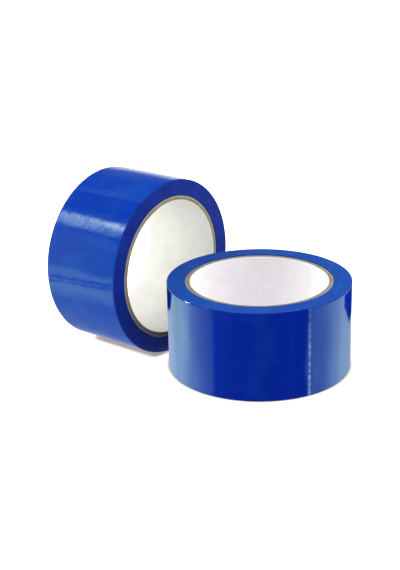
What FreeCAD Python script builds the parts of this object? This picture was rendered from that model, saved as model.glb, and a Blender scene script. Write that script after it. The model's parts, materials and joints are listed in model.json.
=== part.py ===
"""Two rolls of carton sealing tape, one lying flat and one standing on its rim beside it.

Each roll is a spirally wound paper core with a long strip of adhesive film wound on it. The core is six
glued plies, and each ply is a strip wound in a helix whose edges butt along a slanting seam. The film is
divided where it moves differently: the wound pack, the outermost lap, and the free end that peels off.

A roll is modelled along its own X axis, with its first end face at X = 0. The row frame's origin is the
middle of the lying roll's base, with Z along that roll's axis. Lengths are millimetres, angles degrees.
"""
import FreeCAD, Part
import os
import Sketcher

PLY_COUNT = 4           # board plies between the white liner and the outer cover ply
OUT = "parts"

# The driving dimensions: alias, value, meaning.
DIMENSIONS = (
    ("tape_width", 50, "width of the film"),
    ("core_width", 49.5, "width of the core, which is cut a little narrower than the film"),
    ("lying_core_inset", 0, "how far the lying core sits in from the film's first end face"),
    ("standing_core_inset", 0.25, "how far the standing core sits in from the film's first end face"),
    ("core_bore", 76.5, "inside diameter of the core"),
    ("liner_thickness", 0.25, "white paper ply that lines the bore"),
    ("ply_thickness", 0.45, "one ply of core board"),
    ("cover_thickness", 0.45, "pale outer ply that the film sticks to"),
    ("strip_width", 110, "width of the paper strips that the core is wound from"),
    ("seam_gap", 0.3, "gap along a ply's butt seam, measured along the axis"),
    ("seam_run_out", 2, "how far a seam's cut runs past each end face"),
    ("seam_overcut", 0.2, "how far a seam's cut reaches past its ply's inner and outer faces"),
    ("seam_stagger", 75, "angle from one ply's seam to the next ply's"),
    ("film_thickness", 0.046, "film and its adhesive together"),
    ("lying_laps", 228, "laps of film on the lying roll"),
    ("standing_laps", 208, "laps of film on the standing roll"),
    ("free_length", 15, "length of the film's end that peels off"),
    ("root_gap", 0.15, "gap between the last lap and the root of the free end"),
    ("end_gap", 0.3, "gap between the cut end and the start of the last lap"),
    ("lift_clearance", 0.05, "clearance under the free end"),
    ("lying_end_angle", 211, "where the lying roll's film ends, about its axis"),
    ("lying_corner", 0.4, "how far one corner of the lying roll's cut end stands out"),
    ("standing_end_angle", 58, "where the standing roll's film ends, about its axis"),
    ("standing_corner", 1.5, "how far one corner of the standing roll's cut end stands out"),
    ("corner_width", 10, "width of that corner"),
    ("lying_seam_angle", 107, "where the lying core's first seam starts"),
    ("standing_seam_angle", 305, "where the standing core's first seam starts"),
    ("roll_gap", 0.4, "gap between the rolls"),
    ("standing_yaw", 144.2, "direction in plan of the standing roll's axis"),
    ("standing_shift", 12.5, "how far the standing roll sits off the line through the lying roll"),
)


def cell(alias):
    """An expression that reads one cell of the sheet."""
    return f"sizes.{alias}"


# Radii that follow from the driving dimensions, as expressions.
BORE_RADIUS = f"{cell('core_bore')} / 2"
LINER_RADIUS = f"({BORE_RADIUS} + {cell('liner_thickness')})"
BOARD_RADIUS = f"({LINER_RADIUS} + {PLY_COUNT} * {cell('ply_thickness')})"
CORE_RADIUS = f"({BOARD_RADIUS} + {cell('cover_thickness')})"


def pack_radius(roll):
    """Outside of the wound pack, which holds every lap but the last."""
    return f"({CORE_RADIUS} + ({cell(roll + '_laps')} - 1) * {cell('film_thickness')})"


def roll_radius(roll):
    return f"({pack_radius(roll)} + {cell('film_thickness')})"


def arc_angle(length, roll):
    """The angle in degrees that an arc of this length takes on the outside of a roll."""
    return f"({length} / (2 * pi * {roll_radius(roll)}) * 360)"


def make_sheet(doc):
    sheet = doc.addObject("Spreadsheet::Sheet", "sizes")
    for row, (alias, value, meaning) in enumerate(DIMENSIONS, start=1):
        sheet.set(f"A{row}", meaning)
        sheet.set(f"B{row}", str(value))
        sheet.setAlias(f"B{row}", alias)
    doc.recompute()
    return sheet


def rectangle_sketch(body, name, start, width, inner, outer):
    """A rectangle from X = start to start + width, and from radius inner to outer, all expressions."""
    sketch = body.newObject("Sketcher::SketchObject", name)
    plane = next(f for f in body.Origin.OriginFeatures if f.Role == "XY_Plane")
    sketch.AttachmentSupport = [(plane, "")]
    sketch.MapMode = "FlatFace"
    corners = [FreeCAD.Vector(x, y, 0) for x, y in ((1, 10), (9, 10), (9, 12), (1, 12))]
    for i in range(4):
        sketch.addGeometry(Part.LineSegment(corners[i], corners[(i + 1) % 4]))
    for i in range(4):
        sketch.addConstraint(Sketcher.Constraint("Coincident", i, 2, (i + 1) % 4, 1))
        sketch.addConstraint(Sketcher.Constraint("Vertical" if i % 2 else "Horizontal", i))
    sizes = (
        ("start", "DistanceX", (-1, 1, 0, 1), start),
        ("width", "DistanceX", (0, 1, 0, 2), width),
        ("inner", "DistanceY", (-1, 1, 0, 1), inner),
        ("outer", "DistanceY", (-1, 1, 2, 1), outer),
    )
    values = {"start": 1, "width": 8, "inner": 10, "outer": 12}
    for label, kind, ends, expression in sizes:
        index = sketch.addConstraint(Sketcher.Constraint(kind, *ends, values[label]))
        sketch.renameConstraint(index, label)
        sketch.setExpression(f"Constraints.{label}", expression)
    return sketch


def revolve(body, sketch, name, angle):
    """Turns a sketch about the X axis, from the XY plane, by an angle that is an expression."""
    turned = body.newObject("PartDesign::Revolution", name)
    turned.Profile = sketch
    turned.ReferenceAxis = (sketch, ["H_Axis"])
    turned.setExpression("Angle", angle)
    sketch.Visibility = False
    return turned


def ring(doc, name, start, width, inner, outer, angle="360"):
    """A body that is a ring, or a sector of one, from X = start to start + width."""
    body = doc.addObject("PartDesign::Body", name)
    body.Label = name
    sketch = rectangle_sketch(body, name + "_section", start, width, inner, outer)
    revolve(body, sketch, name + "_turn", angle)
    return body


def cut_seam(body, start, inner, outer):
    """Cuts the helical butt seam between the edges of the strip that a ply is wound from."""
    run_out = cell("seam_run_out")
    depth = cell("seam_overcut")
    sketch = rectangle_sketch(
        body, body.Name + "_seam_section", f"{start} - {run_out}", cell("seam_gap"),
        f"{inner} - {depth}", f"{outer} + {depth}",
    )
    seam = body.newObject("PartDesign::SubtractiveHelix", body.Name + "_seam")
    seam.Profile = sketch
    seam.ReferenceAxis = (sketch, ["H_Axis"])
    seam.Mode = "pitch-height-angle"
    share = f"({cell('strip_width')} / (2 * pi * {outer}))"
    seam.setExpression("Pitch", f"{cell('strip_width')} / sqrt(1 - {share} * {share})")
    seam.setExpression("Height", f"{cell('core_width')} + 2 * {run_out}")


def place(body, roll, turn):
    """Puts a piece of a roll in the row frame, turned about the roll's own axis by an expression."""
    if roll == "lying":
        base, yaw, pitch = ("0", "0", "0"), "0", "-90"
    else:
        yaw, pitch = cell("standing_yaw"), "0"
        away = f"({roll_radius('lying')} + {cell('roll_gap')})"
        shift = cell("standing_shift")
        base = (
            f"cos({yaw}) * {away} - sin({yaw}) * {shift}",
            f"sin({yaw}) * {away} + cos({yaw}) * {shift}",
            roll_radius("standing"),
        )
    vector = f"create(<<vector>>; {'; '.join(base)})"
    rotation = f"create(<<rotation>>; {yaw}; {pitch}; {turn})"
    body.setExpression("Placement", f"create(<<placement>>; {vector}; {rotation})")


def build_core(doc, roll):
    """The core's plies, from the white liner outwards, each with its own seam."""
    plies = [("core_liner", BORE_RADIUS, LINER_RADIUS)]
    for i in range(PLY_COUNT):
        inner = f"({LINER_RADIUS} + {i} * {cell('ply_thickness')})"
        outer = f"({LINER_RADIUS} + {i + 1} * {cell('ply_thickness')})"
        plies.append((f"core_ply_{i + 1}", inner, outer))
    plies.append(("core_cover", BOARD_RADIUS, CORE_RADIUS))
    start = cell(roll + "_core_inset")
    for order, (name, inner, outer) in enumerate(plies):
        body = ring(doc, f"{roll}_{name}", start, cell("core_width"), inner, outer)
        cut_seam(body, start, inner, outer)
        place(body, roll, f"{cell(roll + '_seam_angle')} + {order} * {cell('seam_stagger')}")


def build_film(doc, roll):
    """The wound pack, the last lap and the free end."""
    width = cell("tape_width")
    end_angle = cell(roll + "_end_angle")
    free_angle = arc_angle(cell("free_length"), roll)
    corner_angle = arc_angle(cell(roll + "_corner"), roll)
    root_angle = arc_angle(cell("root_gap"), roll)
    end_angle_gap = arc_angle(f"({cell('end_gap')} + {cell(roll + '_corner')})", roll)
    pack = ring(doc, f"{roll}_film_pack", "0", width, CORE_RADIUS, pack_radius(roll))
    place(pack, roll, "0")

    lap_angle = f"360 - {free_angle} - {root_angle} - {end_angle_gap}"
    lap = ring(
        doc, f"{roll}_film_last_lap", "0", width, pack_radius(roll), roll_radius(roll), lap_angle
    )
    place(lap, roll, f"{end_angle} + {end_angle_gap}")

    inner = f"{pack_radius(roll)} + {cell('lift_clearance')}"
    outer = f"{roll_radius(roll)} + {cell('lift_clearance')}"
    end = ring(doc, f"{roll}_film_end", "0", width, inner, outer, free_angle)
    corner = rectangle_sketch(
        end, end.Name + "_corner_section", f"{width} - {cell('corner_width')}",
        cell("corner_width"), inner, outer,
    )
    revolve(end, corner, end.Name + "_corner_turn", f"{free_angle} + {corner_angle}")
    place(end, roll, f"{end_angle} - {free_angle}")


def check(doc, bodies):
    """Stops before anything is written if an object failed or a piece has no sound solid."""
    for obj in doc.Objects:
        if {"Invalid", "Error"} & set(obj.State):
            raise RuntimeError(f"{obj.Name} failed: {obj.State}")
    for body in bodies:
        if body.Shape.isNull() or not body.Shape.isValid() or len(body.Shape.Solids) != 1:
            raise RuntimeError(f"{body.Label} isn't one sound solid")


def main():
    doc = FreeCAD.newDocument("tape_rolls")
    make_sheet(doc)
    for roll in ("lying", "standing"):
        build_core(doc, roll)
        build_film(doc, roll)
    doc.recompute()
    bodies = [obj for obj in doc.Objects if obj.TypeId == "PartDesign::Body"]
    check(doc, bodies)
    os.makedirs(OUT, exist_ok=True)
    for body in bodies:
        body.Shape.exportStep(os.path.join(OUT, body.Label + ".step"))
        box = body.Shape.BoundBox
        print(body.Label, round(body.Shape.Volume, 1), box)


main()
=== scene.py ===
"""Two rolls of blue carton sealing tape, one lying on its end face and one standing on its side.

Lengths are in millimetres and angles in degrees, and MM turns a length into Blender's metres.
Every roll has a frame of its own: x runs along the roll's axis, and a point's angle is measured
about that axis from the roll's side direction towards its up direction.
"""

import json
import math

import bpy
import numpy as np
from mathutils import Matrix, Vector


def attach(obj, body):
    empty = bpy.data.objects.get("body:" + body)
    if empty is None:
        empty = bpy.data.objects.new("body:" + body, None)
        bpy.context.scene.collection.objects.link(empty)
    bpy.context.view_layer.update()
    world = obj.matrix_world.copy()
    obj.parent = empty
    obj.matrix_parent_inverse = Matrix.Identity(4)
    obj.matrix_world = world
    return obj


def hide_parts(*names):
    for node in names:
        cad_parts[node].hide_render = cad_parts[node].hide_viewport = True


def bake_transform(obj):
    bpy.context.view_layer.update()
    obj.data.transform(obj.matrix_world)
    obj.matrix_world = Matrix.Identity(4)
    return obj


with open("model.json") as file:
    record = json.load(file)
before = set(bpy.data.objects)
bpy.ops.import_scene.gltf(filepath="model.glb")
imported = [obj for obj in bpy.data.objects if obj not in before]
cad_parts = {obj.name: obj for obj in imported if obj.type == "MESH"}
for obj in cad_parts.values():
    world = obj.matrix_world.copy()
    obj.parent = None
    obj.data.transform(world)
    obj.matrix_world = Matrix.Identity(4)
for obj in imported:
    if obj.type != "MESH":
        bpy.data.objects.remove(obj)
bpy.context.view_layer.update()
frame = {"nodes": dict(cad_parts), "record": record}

MM = 0.001
PLY_COUNT = 4

# The core is wound from paper strips, so each ply has one helical seam.
STRIP_WIDTH = 110
SEAM_GAP = 0.3
SEAM_STAGGER = 75

# How the film lies on the roll.
EDGE_ROUND = 0.25  # radius of the film's outer edges
LANE_STEP = 0.7  # spacing of the points that carry the film's waves
GROOVE_WIDTH = 0.5  # the first laps, next to the core, sit back by GROOVE_DEPTH
GROOVE_DEPTH = 2.5
CORNER_FROM = 40  # the cut end runs further from here to CORNER_TO
CORNER_TO = 48
CORNER_SOFT = 0.4  # length over which that step rises
END_GAP = 0.3  # between the cut end and the start of the last lap
FILM_DIP = 0.03  # greatest depth of the waves in the last lap
PEEL_BEND = 2.5  # length of film that curls when the loose end is lifted

SHARP_ANGLE = 40  # faces that meet at more than this keep a hard edge
CONTACT_REACH = 4  # how far the shadow of a touching roll spreads over the table


# ---------------------------------------------------------------- frames of the two rolls


class Roll:
    """A roll's own frame and the sizes measured on its CAD nodes."""

    def __init__(self, name, up, seam_angle, corner, seed):
        mounts = {m["name"]: m for m in frame["record"]["mounts"]}
        bore = mounts[name + "_core_bore"]
        self.name = name
        self.axis = Vector(bore["axis"]).normalized()
        self.origin = Vector(bore["pos_m"]) / MM
        self.up = up
        self.side = self.up.cross(self.axis)
        self.seam_angle = seam_angle
        self.corner = corner
        self.seed = seed
        self.body = name + "_roll"
        self.end_body = name + "_free_end"
        pack = self.measure("film_pack")
        self.origin += self.axis * pack["x"][0]
        self.width = pack["x"][1] - pack["x"][0]
        self.core_radius, self.pack_radius = pack["r"]
        self.roll_radius = self.measure("film_last_lap")["r"][1]
        tab = self.measure("film_end")
        self.root, self.end = tab["tab_angles"]

    def measure(self, node):
        """Ranges of a CAD node's points along the axis, across it and round it."""
        co = np.array([v.co for v in frame["nodes"][f"{self.name}_{node}"].data.vertices])
        local = co / MM - np.array(self.origin)
        x = local @ np.array(self.axis)
        y = local @ np.array(self.side)
        z = local @ np.array(self.up)
        r = np.hypot(y, z)
        angle = np.degrees(np.arctan2(z, y)) % 360
        plain = angle[x < x.min() + 1]
        return {
            "x": (float(x.min()), float(x.max())),
            "r": (float(r.min()), float(r.max())),
            "tab_angles": (float(plain.min()), float(plain.max())),
        }

    def points(self, x, r, angle):
        """World points, in metres, of arrays of roll coordinates."""
        a = np.radians(angle)
        flat = np.stack([x, r * np.cos(a), r * np.sin(a)], -1).reshape(-1, 3)
        turn = np.array([self.axis, self.side, self.up])
        return (flat @ turn + np.array(self.origin)) * MM, flat

    def point(self, x, r, angle):
        """One world point, in metres."""
        return Vector(self.points(np.array(x), np.array(r), np.array(angle))[0][0])

    def arc_angle(self, length):
        """The angle that a length of film takes up on the roll."""
        return math.degrees(length / self.roll_radius)


lying = Roll("lying", Vector((-1, 0, 0)), seam_angle=107, corner=0.4, seed=11)
standing = Roll("standing", Vector((0, 0, 1)), seam_angle=305, corner=1.5, seed=23)


# ---------------------------------------------------------------- mesh helpers


def waves(rng, u, v, count, wave_u, wave_v):
    """A smooth random height, about -1 to 1, with wave lengths drawn from two ranges."""
    total = np.zeros(np.broadcast(u, v).shape)
    for _ in range(count):
        length_u = rng.uniform(*wave_u)
        length_v = rng.uniform(*wave_v) * rng.choice([-1, 1])
        total = total + np.sin(2 * math.pi * (u / length_u + v / length_v + rng.random()))
    return total / math.sqrt(count) / 1.4


def ramp(value, low, high):
    """0 before low, 1 after high and smooth between them."""
    t = np.clip((value - low) / (high - low), 0, 1)
    return t * t * (3 - 2 * t)


def sweep(roll, name, x, r, angle, closed, materials, indices=None):
    """A closed solid through loops of points: the first index runs round the section, the
    second along the turn. An open turn gets a cap of quads at each end. Gloss doesn't see
    the piece, so that the film mirrors the studio alone."""
    x, r, angle = np.broadcast_arrays(x, r, angle)
    rows, columns = x.shape
    world, local = roll.points(x, r, angle)
    i = np.arange(rows)[:, None]
    j = np.arange(columns if closed else columns - 1)[None, :]
    down, along = (i + 1) % rows, (j + 1) % columns
    quads = [i * columns + j, down * columns + j, down * columns + along, i * columns + along]
    faces = np.stack(np.broadcast_arrays(*quads), -1).reshape(-1, 4)
    slots = np.repeat(indices if indices is not None else np.zeros(rows, int), j.size)
    if not closed:
        half = rows // 2
        k = np.arange(half - 1)
        cap = np.stack([k, rows - 1 - k, rows - 2 - k, k + 1], -1) * columns
        faces = np.concatenate([faces, cap, cap[:, ::-1] + columns - 1])
        slots = np.concatenate([slots, np.zeros(2 * (half - 1), int)])
    corners = world[faces]
    volume = np.einsum(
        "ij,ij->i", corners[:, 0], np.cross(corners[:, 1], corners[:, 2])
    ) + np.einsum("ij,ij->i", corners[:, 0], np.cross(corners[:, 2], corners[:, 3]))
    if volume.sum() < 0:
        faces = faces[:, ::-1]
    mesh = bpy.data.meshes.new(name)
    mesh.vertices.add(len(world))
    mesh.vertices.foreach_set("co", world.astype(np.float32).ravel())
    mesh.loops.add(faces.size)
    mesh.loops.foreach_set("vertex_index", faces.astype(np.int32).ravel())
    mesh.polygons.add(len(faces))
    mesh.polygons.foreach_set("loop_start", np.arange(0, faces.size, 4, dtype=np.int32))
    for material in materials:
        mesh.materials.append(material)
    mesh.polygons.foreach_set("material_index", slots.astype(np.int32))
    sheet = np.stack([np.radians(angle) * roll.roll_radius, x, r], -1).reshape(-1, 3)
    for label, values in (("roll_point", local), ("sheet", sheet)):
        attribute = mesh.attributes.new(label, "FLOAT_VECTOR", "POINT")
        attribute.data.foreach_set("vector", values.astype(np.float32).ravel())
    mesh.update(calc_edges=True)
    mesh.shade_smooth()
    mesh.set_sharp_from_angle(angle=math.radians(SHARP_ANGLE))
    piece = bpy.data.objects.new(name, mesh)
    piece.visible_glossy = False
    bpy.context.scene.collection.objects.link(piece)
    return piece


# ---------------------------------------------------------------- node helpers


class Graph:
    """Short calls for building a node tree."""

    def __init__(self, tree):
        self.tree = tree
        tree.nodes.clear()

    def node(self, kind, inputs=None, **settings):
        made = self.tree.nodes.new(kind)
        for key, value in settings.items():
            setattr(made, key, value)
        for key, value in (inputs or {}).items():
            self.put(made.inputs[key], value)
        return made

    def put(self, socket, value):
        if isinstance(value, bpy.types.NodeSocket):
            self.tree.links.new(value, socket)
        else:
            socket.default_value = value

    def math(self, operation, a, b=0.0):
        return self.node("ShaderNodeMath", {0: a, 1: b}, operation=operation).outputs[0]

    def add(self, *values):
        total = values[0]
        for value in values[1:]:
            total = self.math("ADD", total, value)
        return total

    def times(self, *values):
        total = values[0]
        for value in values[1:]:
            total = self.math("MULTIPLY", total, value)
        return total

    def step(self, value, low, high, start=0.0, stop=1.0):
        """start before low, stop after high and smooth between them."""
        made = self.node(
            "ShaderNodeMapRange",
            {"Value": value, "From Min": low, "From Max": high, "To Min": start, "To Max": stop},
            interpolation_type="SMOOTHSTEP",
        )
        return made.outputs["Result"]

    def band(self, value, low, high, soft):
        """1 between low and high, falling to 0 over soft on each side."""
        rise = self.step(value, low - soft, low)
        return self.times(rise, self.step(value, high, high + soft, 1.0, 0.0))

    def attribute(self, name):
        return self.node("ShaderNodeAttribute", attribute_name=name).outputs["Vector"]

    def split(self, vector):
        return self.node("ShaderNodeSeparateXYZ", {"Vector": vector}).outputs

    def noise(self, vector, stretch, detail=2.0, roughness=0.5):
        """Noise of 0 to 1 on a vector in millimetres; stretch is the size of its spots."""
        scale = self.node("ShaderNodeVectorMath", {0: vector}, operation="DIVIDE")
        scale.inputs[1].default_value = stretch
        inputs = {"Vector": scale.outputs[0], "Scale": 1.0, "Detail": detail}
        made = self.node("ShaderNodeTexNoise", {**inputs, "Roughness": roughness})
        return made.outputs["Fac"]

    def coloured(self, strength, colour):
        """A strength turned into light of a colour."""
        inputs = {0: colour, "Scale": strength}
        return self.node("ShaderNodeVectorMath", inputs, operation="SCALE").outputs[0]

    def together(self, a, b):
        """The sum of two coloured lights."""
        return self.node("ShaderNodeVectorMath", {0: a, 1: b}, operation="ADD").outputs[0]

    def mix(self, factor, a, b):
        made = self.node("ShaderNodeMix", {0: factor}, data_type="RGBA")
        self.put(made.inputs[6], a)
        self.put(made.inputs[7], b)
        return made.outputs[2]

    def bump(self, height, depth, normal=None):
        """A bump whose height of 0 to 1 stands for depth in millimetres."""
        made = self.node("ShaderNodeBump", {"Height": height, "Strength": 1.0})
        made.inputs["Distance"].default_value = depth * MM
        if normal is not None:
            self.put(made.inputs["Normal"], normal)
        return made.outputs["Normal"]


def new_material(name, shader_values, build):
    """A Principled material; build(graph) returns its linked inputs."""
    material = bpy.data.materials.new(name)
    material.use_nodes = True
    graph = Graph(material.node_tree)
    shader = graph.node("ShaderNodeBsdfPrincipled", shader_values)
    for key, value in build(graph).items():
        graph.put(shader.inputs[key], value)
    graph.node("ShaderNodeOutputMaterial", {"Surface": shader.outputs[0]})
    return material


def rgb(red, green, blue):
    return (red, green, blue, 1.0)


FILM_TINT = rgb(0.75, 1.0, 0.9)


# ---------------------------------------------------------------- materials


def film_material(name, deep, pale, air_and_sheen, cut, cut_glint, slack, lane_depth):
    """Glossy pigmented film seen from outside. air is how much pale, loose film shows, in random
    spots that also stand in for a painted reflection of pale blotches. cut is the arc where the
    film was cut off, frayed is how strong a painted glint along the cut is, a pale line with pale
    spots where the cut edge would catch light, slack is how much duller the film is away from
    the roll's first edge, and lane_depth is the depth of the stretch lines that run round the
    roll. The pigment cools what the film mirrors."""

    def build(g):
        sheet = g.attribute("sheet")
        arc, across = g.split(sheet)[0:2]
        # Painted reflection, in part: random pale spots of loose film also stand in for pale
        # blotches mirrored in the film.
        tone_and_sheen_patches = g.noise(sheet, (14, 22, 50), detail=3)
        lanes = g.noise(sheet, (90, 1.1, 50), detail=2)
        bared = g.band(arc, cut[0], cut[0] + 6, 0.1)
        covered = g.band(arc, cut[1] - 9, cut[1] + 9, 0.1)
        shade = g.add(
            g.times(g.step(tone_and_sheen_patches, 0.42, 0.66), air_and_sheen),
            g.times(lanes, 0.12),
            g.times(g.step(arc, cut[0], cut[0] + 30, 1.0, 0.0), bared, 0.2),
            g.times(covered, -0.25),
        )
        # Painted glint: a pale line along the cut, dotted with pale spots that are stronger over
        # the first 30 mm of the width, where the cut edge would catch light.
        glint_beads = g.noise(sheet, (60, 3.0, 50), detail=3, roughness=0.7)
        glint_beads = g.times(g.step(glint_beads, 0.28, 0.72), g.step(across, 44, 30, 0.3, 1.0))
        glint_line = g.times(g.band(arc, cut[1] - 0.6, cut[1] + 2, 0.7), glint_beads)
        colour = g.mix(g.math("MAXIMUM", shade, 0.0), deep, pale)
        streaks = g.noise(sheet, (14, 1.1, 50), detail=2, roughness=0.6)
        ripple = g.noise(sheet, (3.5, 5.0, 50), detail=1)
        swell = g.noise(sheet, (16, 34, 50), detail=0)
        normal = g.bump(ripple, 0.04, g.bump(streaks, lane_depth))
        dull = g.times(g.step(across, 5, 16), slack)
        return {
            "Base Color": g.mix(g.times(glint_line, cut_glint), colour, rgb(0.30, 0.48, 0.85)),
            "Roughness": g.add(g.step(g.noise(sheet, (10, 3, 50)), 0.3, 0.7, 0.03, 0.09), dull),
            "Normal": g.bump(swell, 0.7, normal),
        }

    return new_material(name, {"IOR": 1.5, "Specular Tint": FILM_TINT}, build)


def cut_edge_material(name, deep, pale):
    """The end face of the wound film: hundreds of film edges, seen as fine rings."""

    def build(g):
        y, z = g.split(g.attribute("roll_point"))[1:3]
        radius = g.math("SQRT", g.add(g.times(y, y), g.times(z, z)))
        point = g.node("ShaderNodeCombineXYZ", {"X": radius, "Y": 0.0, "Z": 0.0}).outputs[0]
        fine = g.noise(point, (0.12, 1, 1), detail=2, roughness=0.7)
        broad = g.noise(point, (1.3, 1, 1), detail=2)
        # Painted sheen, in part: the random spots and short pale arcs below are tone that also
        # stands in for the pale streaks a ringed face shows towards a light.
        tone_and_sheen_patches = g.noise(g.attribute("roll_point"), (9, 9, 9), detail=3)
        smears_and_sheen = g.noise(g.attribute("sheet"), (14, 50, 0.5), detail=2)
        shade = g.add(
            g.times(fine, 0.3), g.times(broad, 0.25), g.times(tone_and_sheen_patches, 0.25), g.times(smears_and_sheen, 0.2)
        )
        return {
            "Base Color": g.mix(g.step(shade, 0.35, 0.65), deep, pale),
            "Roughness": g.step(broad, 0.3, 0.7, 0.32, 0.5),
            "Normal": g.bump(fine, 0.03),
        }

    return new_material(
        name, {"IOR": 1.5, "Specular IOR Level": 0.05, "Specular Tint": FILM_TINT}, build
    )


def board_material(name, dark, light):
    """Grey-brown core board: fibres and blotches, and a cut end that is rough."""

    def build(g):
        sheet = g.attribute("sheet")
        fibres = g.noise(sheet, (1.6, 0.25, 0.25), detail=4, roughness=0.65)
        blotches = g.noise(sheet, (9, 6, 2), detail=2)
        shade = g.add(g.times(fibres, 0.6), g.times(blotches, 0.4))
        return {
            "Base Color": g.mix(g.step(shade, 0.35, 0.65), dark, light),
            "Normal": g.bump(fibres, 0.06),
        }

    return new_material(name, {"Roughness": 0.9, "IOR": 1.45}, build)


def paper_material(name, shaded, white):
    """Smooth white liner paper with a faint cloudy formation."""

    def build(g):
        sheet = g.attribute("sheet")
        clouds = g.noise(sheet, (5, 5, 5), detail=4, roughness=0.6)
        broad = g.noise(sheet, (40, 25, 20), detail=1)
        shade = g.add(g.times(clouds, 0.5), g.times(broad, 0.5))
        return {
            "Base Color": g.mix(g.step(shade, 0.3, 0.7), shaded, white),
            "Normal": g.bump(clouds, 0.015),
        }

    return new_material(name, {"Roughness": 0.55, "IOR": 1.45}, build)


# ---------------------------------------------------------------- pieces


def film_waves(roll, arc, x):
    """How far the outer lap dips below its nominal radius, from winding tension and trapped
    bubbles.
    """
    rng = np.random.default_rng(roll.seed)
    lanes = waves(rng, arc, x, 5, (9, 16), (14, 40)) * 0.007
    broad = waves(rng, arc, x, 4, (30, 70), (40, 90)) * 0.007
    return np.clip(lanes + broad - FILM_DIP / 2, -FILM_DIP, 0)


def rounded_edge(roll, x):
    """How far the film's outer edge falls away close to the two end faces."""
    inside = np.clip(np.minimum(x, roll.width - x), 0, EDGE_ROUND)
    return EDGE_ROUND - np.sqrt(EDGE_ROUND**2 - (EDGE_ROUND - inside) ** 2)


def width_stations(roll, count):
    """Places across the film: even ones, and closer ones round each edge."""
    edge = EDGE_ROUND * (1 - np.cos(np.radians([0, 30, 60, 90])))
    middle = np.linspace(EDGE_ROUND, roll.width - EDGE_ROUND, count)
    return np.concatenate([edge[:-1], middle, (roll.width - edge[:-1])[::-1]])


def end_face_profile(roll, rng, radii, angle):
    """How far the film edges sit back from the end face: laps wander as they are wound."""
    distance = radii - roll.core_radius
    steps = waves(rng, distance, 0 * angle, 6, (0.5, 2.5), (200, 400))
    wander = waves(rng, distance, roll.roll_radius * np.radians(angle), 4, (2, 6), (107, 322))
    back = 0.08 + 0.035 * steps + 0.025 * wander
    groove = GROOVE_DEPTH * (1 - ramp(distance, GROOVE_WIDTH * 0.7, GROOVE_WIDTH))
    rim = ramp(roll.pack_radius - radii, 0, 0.6)
    return np.clip(back, 0, None) * rim + groove


def wound_film(roll, side, edge):
    """All the laps but the last one, as one body with a ridged face at each end."""
    rng = np.random.default_rng(roll.seed + 1)
    angle = np.linspace(0, 360, 480, endpoint=False)[None, :]
    radii = np.linspace(roll.core_radius, roll.pack_radius - EDGE_ROUND, 76)[:, None]
    first = end_face_profile(roll, rng, radii, angle)
    second = roll.width - end_face_profile(roll, rng, radii, angle)
    x = width_stations(roll, 12)[:, None]
    outer = roll.pack_radius - rounded_edge(roll, x)
    ones = np.ones_like(angle)
    all_x = np.concatenate([first, x * ones, second[::-1]])
    all_r = np.concatenate([radii * ones, outer * ones, radii[::-1] * ones])
    faces = np.ones(len(all_x), int)
    faces[len(radii) + 3 : len(radii) + len(x) - 4] = 0
    piece = sweep(roll, roll.name + "_wound_film", all_x, all_r, angle, True, [side, edge], faces)
    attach(piece, roll.body)
    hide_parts(roll.name + "_film_pack")


def shell_section(roll, arc, x):
    """Radii of the film's outer and inner face, as loops round its section."""
    outer = roll.roll_radius + film_waves(roll, arc, x) - rounded_edge(roll, x)
    inner = roll.pack_radius - rounded_edge(roll, x)
    return outer, np.broadcast_to(inner, outer.shape)


def film_piece(roll, name, start, stop, material):
    """A stretch of the outer lap from angle start to stop; stop may vary across the film."""
    x = width_stations(roll, 60)[:, None]
    length = roll.roll_radius * math.radians(float(np.max(stop)) - start)
    share = np.linspace(0, 1, max(48, round(length / LANE_STEP)))[None, :]
    angle = start + share * (stop - start)
    outer, inner = shell_section(roll, np.radians(angle) * roll.roll_radius, x)
    ones = np.ones_like(share)
    all_x = np.concatenate([x * ones, x[::-1] * ones])
    all_r = np.concatenate([outer, inner[::-1]])
    both = np.broadcast_to(angle, outer.shape)
    all_a = np.concatenate([both, both[::-1]])
    return sweep(roll, name, all_x, all_r, all_a, False, [material])


def outer_lap(roll, material):
    """The last lap, up to where its loose end starts."""
    start = roll.end + roll.arc_angle(roll.corner) + roll.arc_angle(END_GAP) - 360
    piece = film_piece(roll, roll.name + "_outer_lap", start, roll.root, material)
    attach(piece, roll.body)
    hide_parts(roll.name + "_film_last_lap")


def loose_end(roll, material):
    """The film's free end, which a finger lifts to start the tape."""
    rng = np.random.default_rng(roll.seed + 2)
    x = width_stations(roll, 60)[:, None]
    corner = ramp(x, CORNER_FROM - CORNER_SOFT, CORNER_FROM) * (1 - ramp(x, CORNER_FROM, CORNER_TO))
    ragged = waves(rng, x, 0 * x, 5, (1.5, 9), (100, 200)) * 0.05
    cut = roll.end + roll.arc_angle(1) * (corner * roll.corner + ragged)
    piece = film_piece(roll, roll.name + "_loose_end", roll.root, cut, material)
    middle = roll.width / 2
    bend = roll.root + roll.arc_angle(PEEL_BEND)
    roll.point(middle, roll.roll_radius, roll.root)
    roll.point(middle, roll.roll_radius, bend)
    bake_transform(piece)
    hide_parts(roll.name + "_film_end")


def helix_turn(radius):
    """Degrees that a seam turns for each millimetre along the core."""
    circle = 2 * math.pi * radius
    pitch = STRIP_WIDTH / math.sqrt(1 - (STRIP_WIDTH / circle) ** 2)
    return 360 / pitch


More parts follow.
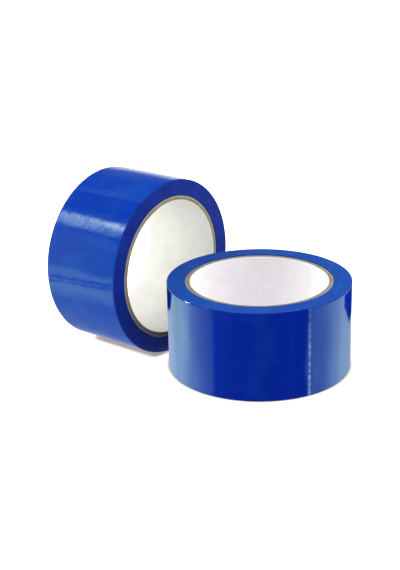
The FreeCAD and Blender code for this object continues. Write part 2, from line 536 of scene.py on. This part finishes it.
def paper_ring(roll, node, label, order, material, ripple, fray):
    """One ply of the core: a strip wound into a tube, with a helical butt seam."""
    rng = np.random.default_rng(roll.seed + 10 + order)
    size = roll.measure(node)
    (x0, x1), (r0, r1) = size["x"], size["r"]
    nominal = np.concatenate([[0, 0.02], np.linspace(0.06, 0.94, 22), [0.98, 1]])[:, None]
    share = np.linspace(0, 1, 300)[None, :]
    x = x0 + nominal * (x1 - x0)
    seam = roll.seam_angle + order * SEAM_STAGGER + (x - x0) * helix_turn(r0)
    gap = math.degrees(SEAM_GAP / r0)
    angle = seam + gap / 2 + share * (360 - gap)
    arc = np.radians(angle) * r0
    near_end = np.exp(-np.minimum(x - x0, x1 - x) / 0.6)
    fringe = (0.5 + 0.5 * waves(rng, arc, 0 * x, 6, (0.9, 5), (300, 400))) * fray
    inward = np.where(nominal < 0.5, 1, -1) * near_end * np.clip(fringe, 0, 2 * fray)
    dent = waves(rng, arc, x, 5, (15, 60), (12, 60)) * ripple
    bore = size["r"][0] + np.clip(dent, -ripple, ripple) + ripple
    outer = np.full_like(angle, r1)
    all_x = np.concatenate([x + inward, (x + inward)[::-1]])
    all_r = np.concatenate([outer, bore[::-1]])
    all_a = np.concatenate([angle, angle[::-1]])
    piece = sweep(roll, f"{roll.name}_{label}", all_x, all_r, all_a, False, [material])
    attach(piece, roll.body)
    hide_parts(f"{roll.name}_{node}")


def build_core(roll, board, cover, liner):
    """The liner, the board plies and the cover, from the bore outwards."""
    paper_ring(roll, "core_liner", "white_liner", 0, liner, 0.02, 0.03)
    for k in range(1, PLY_COUNT + 1):
        paper_ring(roll, f"core_ply_{k}", f"board_ply_{k}", k, board[k % 2], 0, 0.1)
    order = PLY_COUNT + 1
    paper_ring(roll, "core_cover", "board_cover", order, cover, 0, 0.05)


# ---------------------------------------------------------------- the two rolls

board = [
    board_material("board_dark", rgb(0.14, 0.115, 0.07), rgb(0.26, 0.22, 0.145)),
    board_material("board_light", rgb(0.20, 0.17, 0.115), rgb(0.33, 0.29, 0.20)),
]
cover = board_material("board_cover", rgb(0.34, 0.31, 0.24), rgb(0.50, 0.46, 0.37))

# Painted light and shade: the two rolls are one tape on one kind of core, so their colours differ
# only to stand in for light. The standing roll's film is lighter at its side and much darker at its
# end face, and its liner darker and yellower, than the lying roll's.
looks_with_painted_light = {
    "lying": {
        "side": (rgb(0.0005, 0.015, 0.29), rgb(0.012, 0.06, 0.36), 0.15),
        "cut_glint": 0.55,
        "slack": 0.0,
        "lanes": 0.04,
        "face": (rgb(0.0, 0.034, 0.27), rgb(0.004, 0.072, 0.39)),
        "liner": (rgb(0.80, 0.775, 0.80), rgb(0.87, 0.845, 0.87)),
    },
    "standing": {
        "side": (rgb(0.001, 0.037, 0.355), rgb(0.018, 0.085, 0.42), 0.3),
        "cut_glint": 0.0,
        "slack": 0.05,
        "lanes": 0.085,
        "face": (rgb(0.0, 0.006, 0.17), rgb(0.003, 0.024, 0.27)),
        "liner": (rgb(0.71, 0.70, 0.65), rgb(0.79, 0.78, 0.72)),
    },
}
for roll in (lying, standing):
    look = looks_with_painted_light[roll.name]
    cut_arcs = [math.radians(a) * roll.roll_radius for a in (roll.end - 360, roll.end)]
    side = film_material(
        f"{roll.name}_film",
        *look["side"],
        cut_arcs,
        look["cut_glint"],
        look["slack"],
        look["lanes"],
    )
    edge = cut_edge_material(f"{roll.name}_film_edges", *look["face"])
    liner = paper_material(f"{roll.name}_liner_paper", *look["liner"])
    wound_film(roll, side, edge)
    outer_lap(roll, side)
    loose_end(roll, side)
    build_core(roll, board, cover, liner)


# ---------------------------------------------------------------- floor, light and camera


def build_floor():
    """A white table top that glows, with a painted brownish shadow where a roll touches it. It
    shows only to the camera, so the sky lights the rolls.
    """
    bpy.ops.mesh.primitive_plane_add(size=6)
    floor = bpy.context.object
    floor.name = "table_top"
    floor.visible_glossy = False
    floor.visible_diffuse = False
    material = bpy.data.materials.new("table_top")
    material.use_nodes = True
    g = Graph(material.node_tree)
    # Painted contact shadow: ambient occlusion close to a roll mixes the table from white to brown.
    near = g.node("ShaderNodeAmbientOcclusion", {"Distance": CONTACT_REACH * MM}, samples=16)
    painted_shadow_fade = g.step(near.outputs["AO"], 0.4, 0.95)
    tint = g.mix(painted_shadow_fade, rgb(0.35, 0.28, 0.21), rgb(0.9, 0.9, 0.9))
    diffuse = g.node("ShaderNodeBsdfDiffuse", {"Color": tint})
    glow = g.node("ShaderNodeEmission", {"Color": tint, "Strength": 1.0})
    total = g.node("ShaderNodeAddShader", {0: diffuse.outputs[0], 1: glow.outputs[0]})
    g.node("ShaderNodeOutputMaterial", {"Surface": total.outputs[0]})
    floor.data.materials.append(material)


def build_world():
    """A soft studio. Diffuse light is a smooth gradient, brighter behind and at both sides.
    Gloss sees a pale table behind and beside the rolls, a dim wall on the left, a dark room
    in front, and a bright strip up on the left. The camera sees plain white."""
    world = bpy.data.worlds.new("studio")
    bpy.context.scene.world = world
    world.use_nodes = True
    world.cycles.sampling_method = "NONE"
    g = Graph(world.node_tree)
    direction = g.node("ShaderNodeTexCoord").outputs["Generated"]
    x, y, z = g.split(direction)[0:3]
    turn = g.math("DEGREES", g.math("ARCTAN2", x, y))
    rise = g.math("DEGREES", g.math("ARCSINE", z))
    off_axis = g.math("ABSOLUTE", turn)

    soft = g.add(1.25, g.times(x, -0.19), g.times(y, 1.05), g.times(x, x, 1.5))
    soft = g.math("MAXIMUM", soft, 0.0)

    # The table's brightness by compass angle, darker towards the rolls' own feet.
    left = g.times(turn, -1.0)
    right_table = g.add(
        0.85, g.step(turn, 25, 60, 0.0, 1.05), g.step(turn, 70, 110, 0.0, -0.8)
    )
    left_table = g.add(
        0.55,
        g.step(left, 10, 60, 0.0, 1.65),
        g.times(g.band(left, 68, 74, 14), 0.85),
        g.step(left, 80, 125, 0.0, -1.6),
    )
    on_left = g.step(left, -8, 8)
    table = g.add(right_table, g.times(g.math("SUBTRACT", left_table, right_table), on_left))
    table = g.add(0.5, g.times(g.add(table, -0.5), g.step(rise, -40, -26)))
    depth = g.add(rise, g.times(off_axis, 0.35))
    table = g.times(table, g.step(rise, -12, -7, 1.0, 0.0), g.step(depth, -60, -20))
    # The wall on the left, and a dark room in front of the rolls.
    wall_side = g.add(0.32, g.step(turn, -106, -98, 0.0, 0.3))
    wall = g.times(g.band(rise, -7, 22, 6), g.step(turn, -60, -75), wall_side)
    front = g.step(g.add(off_axis, g.times(on_left, -4.0)), 111, 119, 1.0, 0.0)
    pale = g.times(g.add(table, wall), front)
    # A low glow straight behind, and the strip, which is brighter at its upper end.
    back = g.times(g.band(turn, -25, 25, 25), g.step(rise, -12, -7))
    back = g.times(back, g.add(g.step(rise, 2, 15, 0.9, 0.0), g.step(rise, 15, 35, 0.12, 0.0)))
    strip = g.times(g.band(turn, -88.5, -85, 5.5), g.band(rise, 30, 44, 4))
    strip = g.times(strip, g.step(rise, 38, 40, 6.0, 12.5))

    # The pale light is white to bluish straight behind and greener at the sides.
    grazing = g.mix(on_left, rgb(0.95, 1, 0.9), rgb(0.95, 1.05, 1.4))
    hue = g.mix(g.step(off_axis, 12, 45), grazing, rgb(0.68, 1, 0.6))
    pale = g.coloured(pale, hue)
    white = g.coloured(g.add(back, strip, 0.03), (0.9, 1, 0.85))
    studio = g.together(pale, white)

    path = g.node("ShaderNodeLightPath").outputs
    seen = g.mix(path["Is Glossy Ray"], g.coloured(soft, (1, 1, 1)), studio)
    seen = g.mix(path["Is Camera Ray"], seen, rgb(1, 1, 1))
    sky = g.node("ShaderNodeBackground", {"Color": seen, "Strength": 1.0})
    g.node("ShaderNodeOutputWorld", {"Surface": sky.outputs[0]})


def build_card(name, columns, strength=0.0):
    """A card that only gloss sees, black or with a front that glows. Its columns are x, y,
    lower and upper end in millimetres."""
    verts = [Vector((x, y, z)) * MM for x, y, low, high in columns for z in (low, high)]
    faces = [(2 * k, 2 * k + 2, 2 * k + 3, 2 * k + 1) for k in range(len(columns) - 1)]
    mesh = bpy.data.meshes.new(name)
    mesh.from_pydata(verts, [], faces)
    material = bpy.data.materials.new(name)
    material.use_nodes = True
    g = Graph(material.node_tree)
    back_side = g.node("ShaderNodeNewGeometry").outputs["Backfacing"]
    glow = g.times(g.math("SUBTRACT", 1.0, back_side), strength)
    light = g.node("ShaderNodeEmission", {"Color": rgb(1, 1, 1), "Strength": glow})
    g.node("ShaderNodeOutputMaterial", {"Surface": light.outputs[0]})
    mesh.materials.append(material)
    card = bpy.data.objects.new(name, mesh)
    card.visible_camera = False
    card.visible_diffuse = False
    card.visible_transmission = False
    card.visible_shadow = False
    bpy.context.scene.collection.objects.link(card)


def build_camera():
    """A long lens that looks down at the rolls from the front."""
    back, height = 617.95, 280.72
    pitch, yaw, tilt = (math.radians(v) for v in (20.723, -3.038, -1.379))
    level = math.cos(pitch)
    ahead = Vector((math.sin(yaw) * level, math.cos(yaw) * level, -math.sin(pitch)))
    right = Vector((math.cos(yaw), -math.sin(yaw), 0))
    top = right.cross(ahead)
    columns = (
        right * math.cos(tilt) + top * math.sin(tilt),
        top * math.cos(tilt) - right * math.sin(tilt),
        -ahead,
    )
    data = bpy.data.cameras.new("camera")
    data.lens = 75.33
    data.clip_start = 0.01
    camera = bpy.data.objects.new("camera", data)
    camera.matrix_world = Matrix(columns).transposed().to_4x4()
    camera.location = Vector((0, -back, height)) * MM
    bpy.context.scene.collection.objects.link(camera)
    bpy.context.scene.camera = camera


build_floor()
build_world()
build_card(
    "card_left",
    [(-80, 191, -44, -15), (-120, 175, -44, -15), (-158, 147, -40, -15), (-176, 125, -28, -15)],
)
build_card(
    "card_right",
    [(204, 97, -37, -15), (165, 143, -52, -15), (135, 168, -52, -15), (98, 187, -46, -15)],
)
build_card("rail_upper", [(-216, -61, 14, 22), (-247, -32, 0, 8), (-277, -2, -15, -7)])
build_card("rail_lower", [(-216, -60, 4, 11), (-247, -29, -14, -7), (-277, 4, -32, -25)])
build_card("spark_large", [(-68, -34, 51, 62), (-68, -27, 51, 62)], 120)
build_card("spark_small", [(-51, -54, 54, 58), (-51, -50, 54, 58)], 120)
build_camera()
bpy.context.scene.view_settings.view_transform = "Standard"
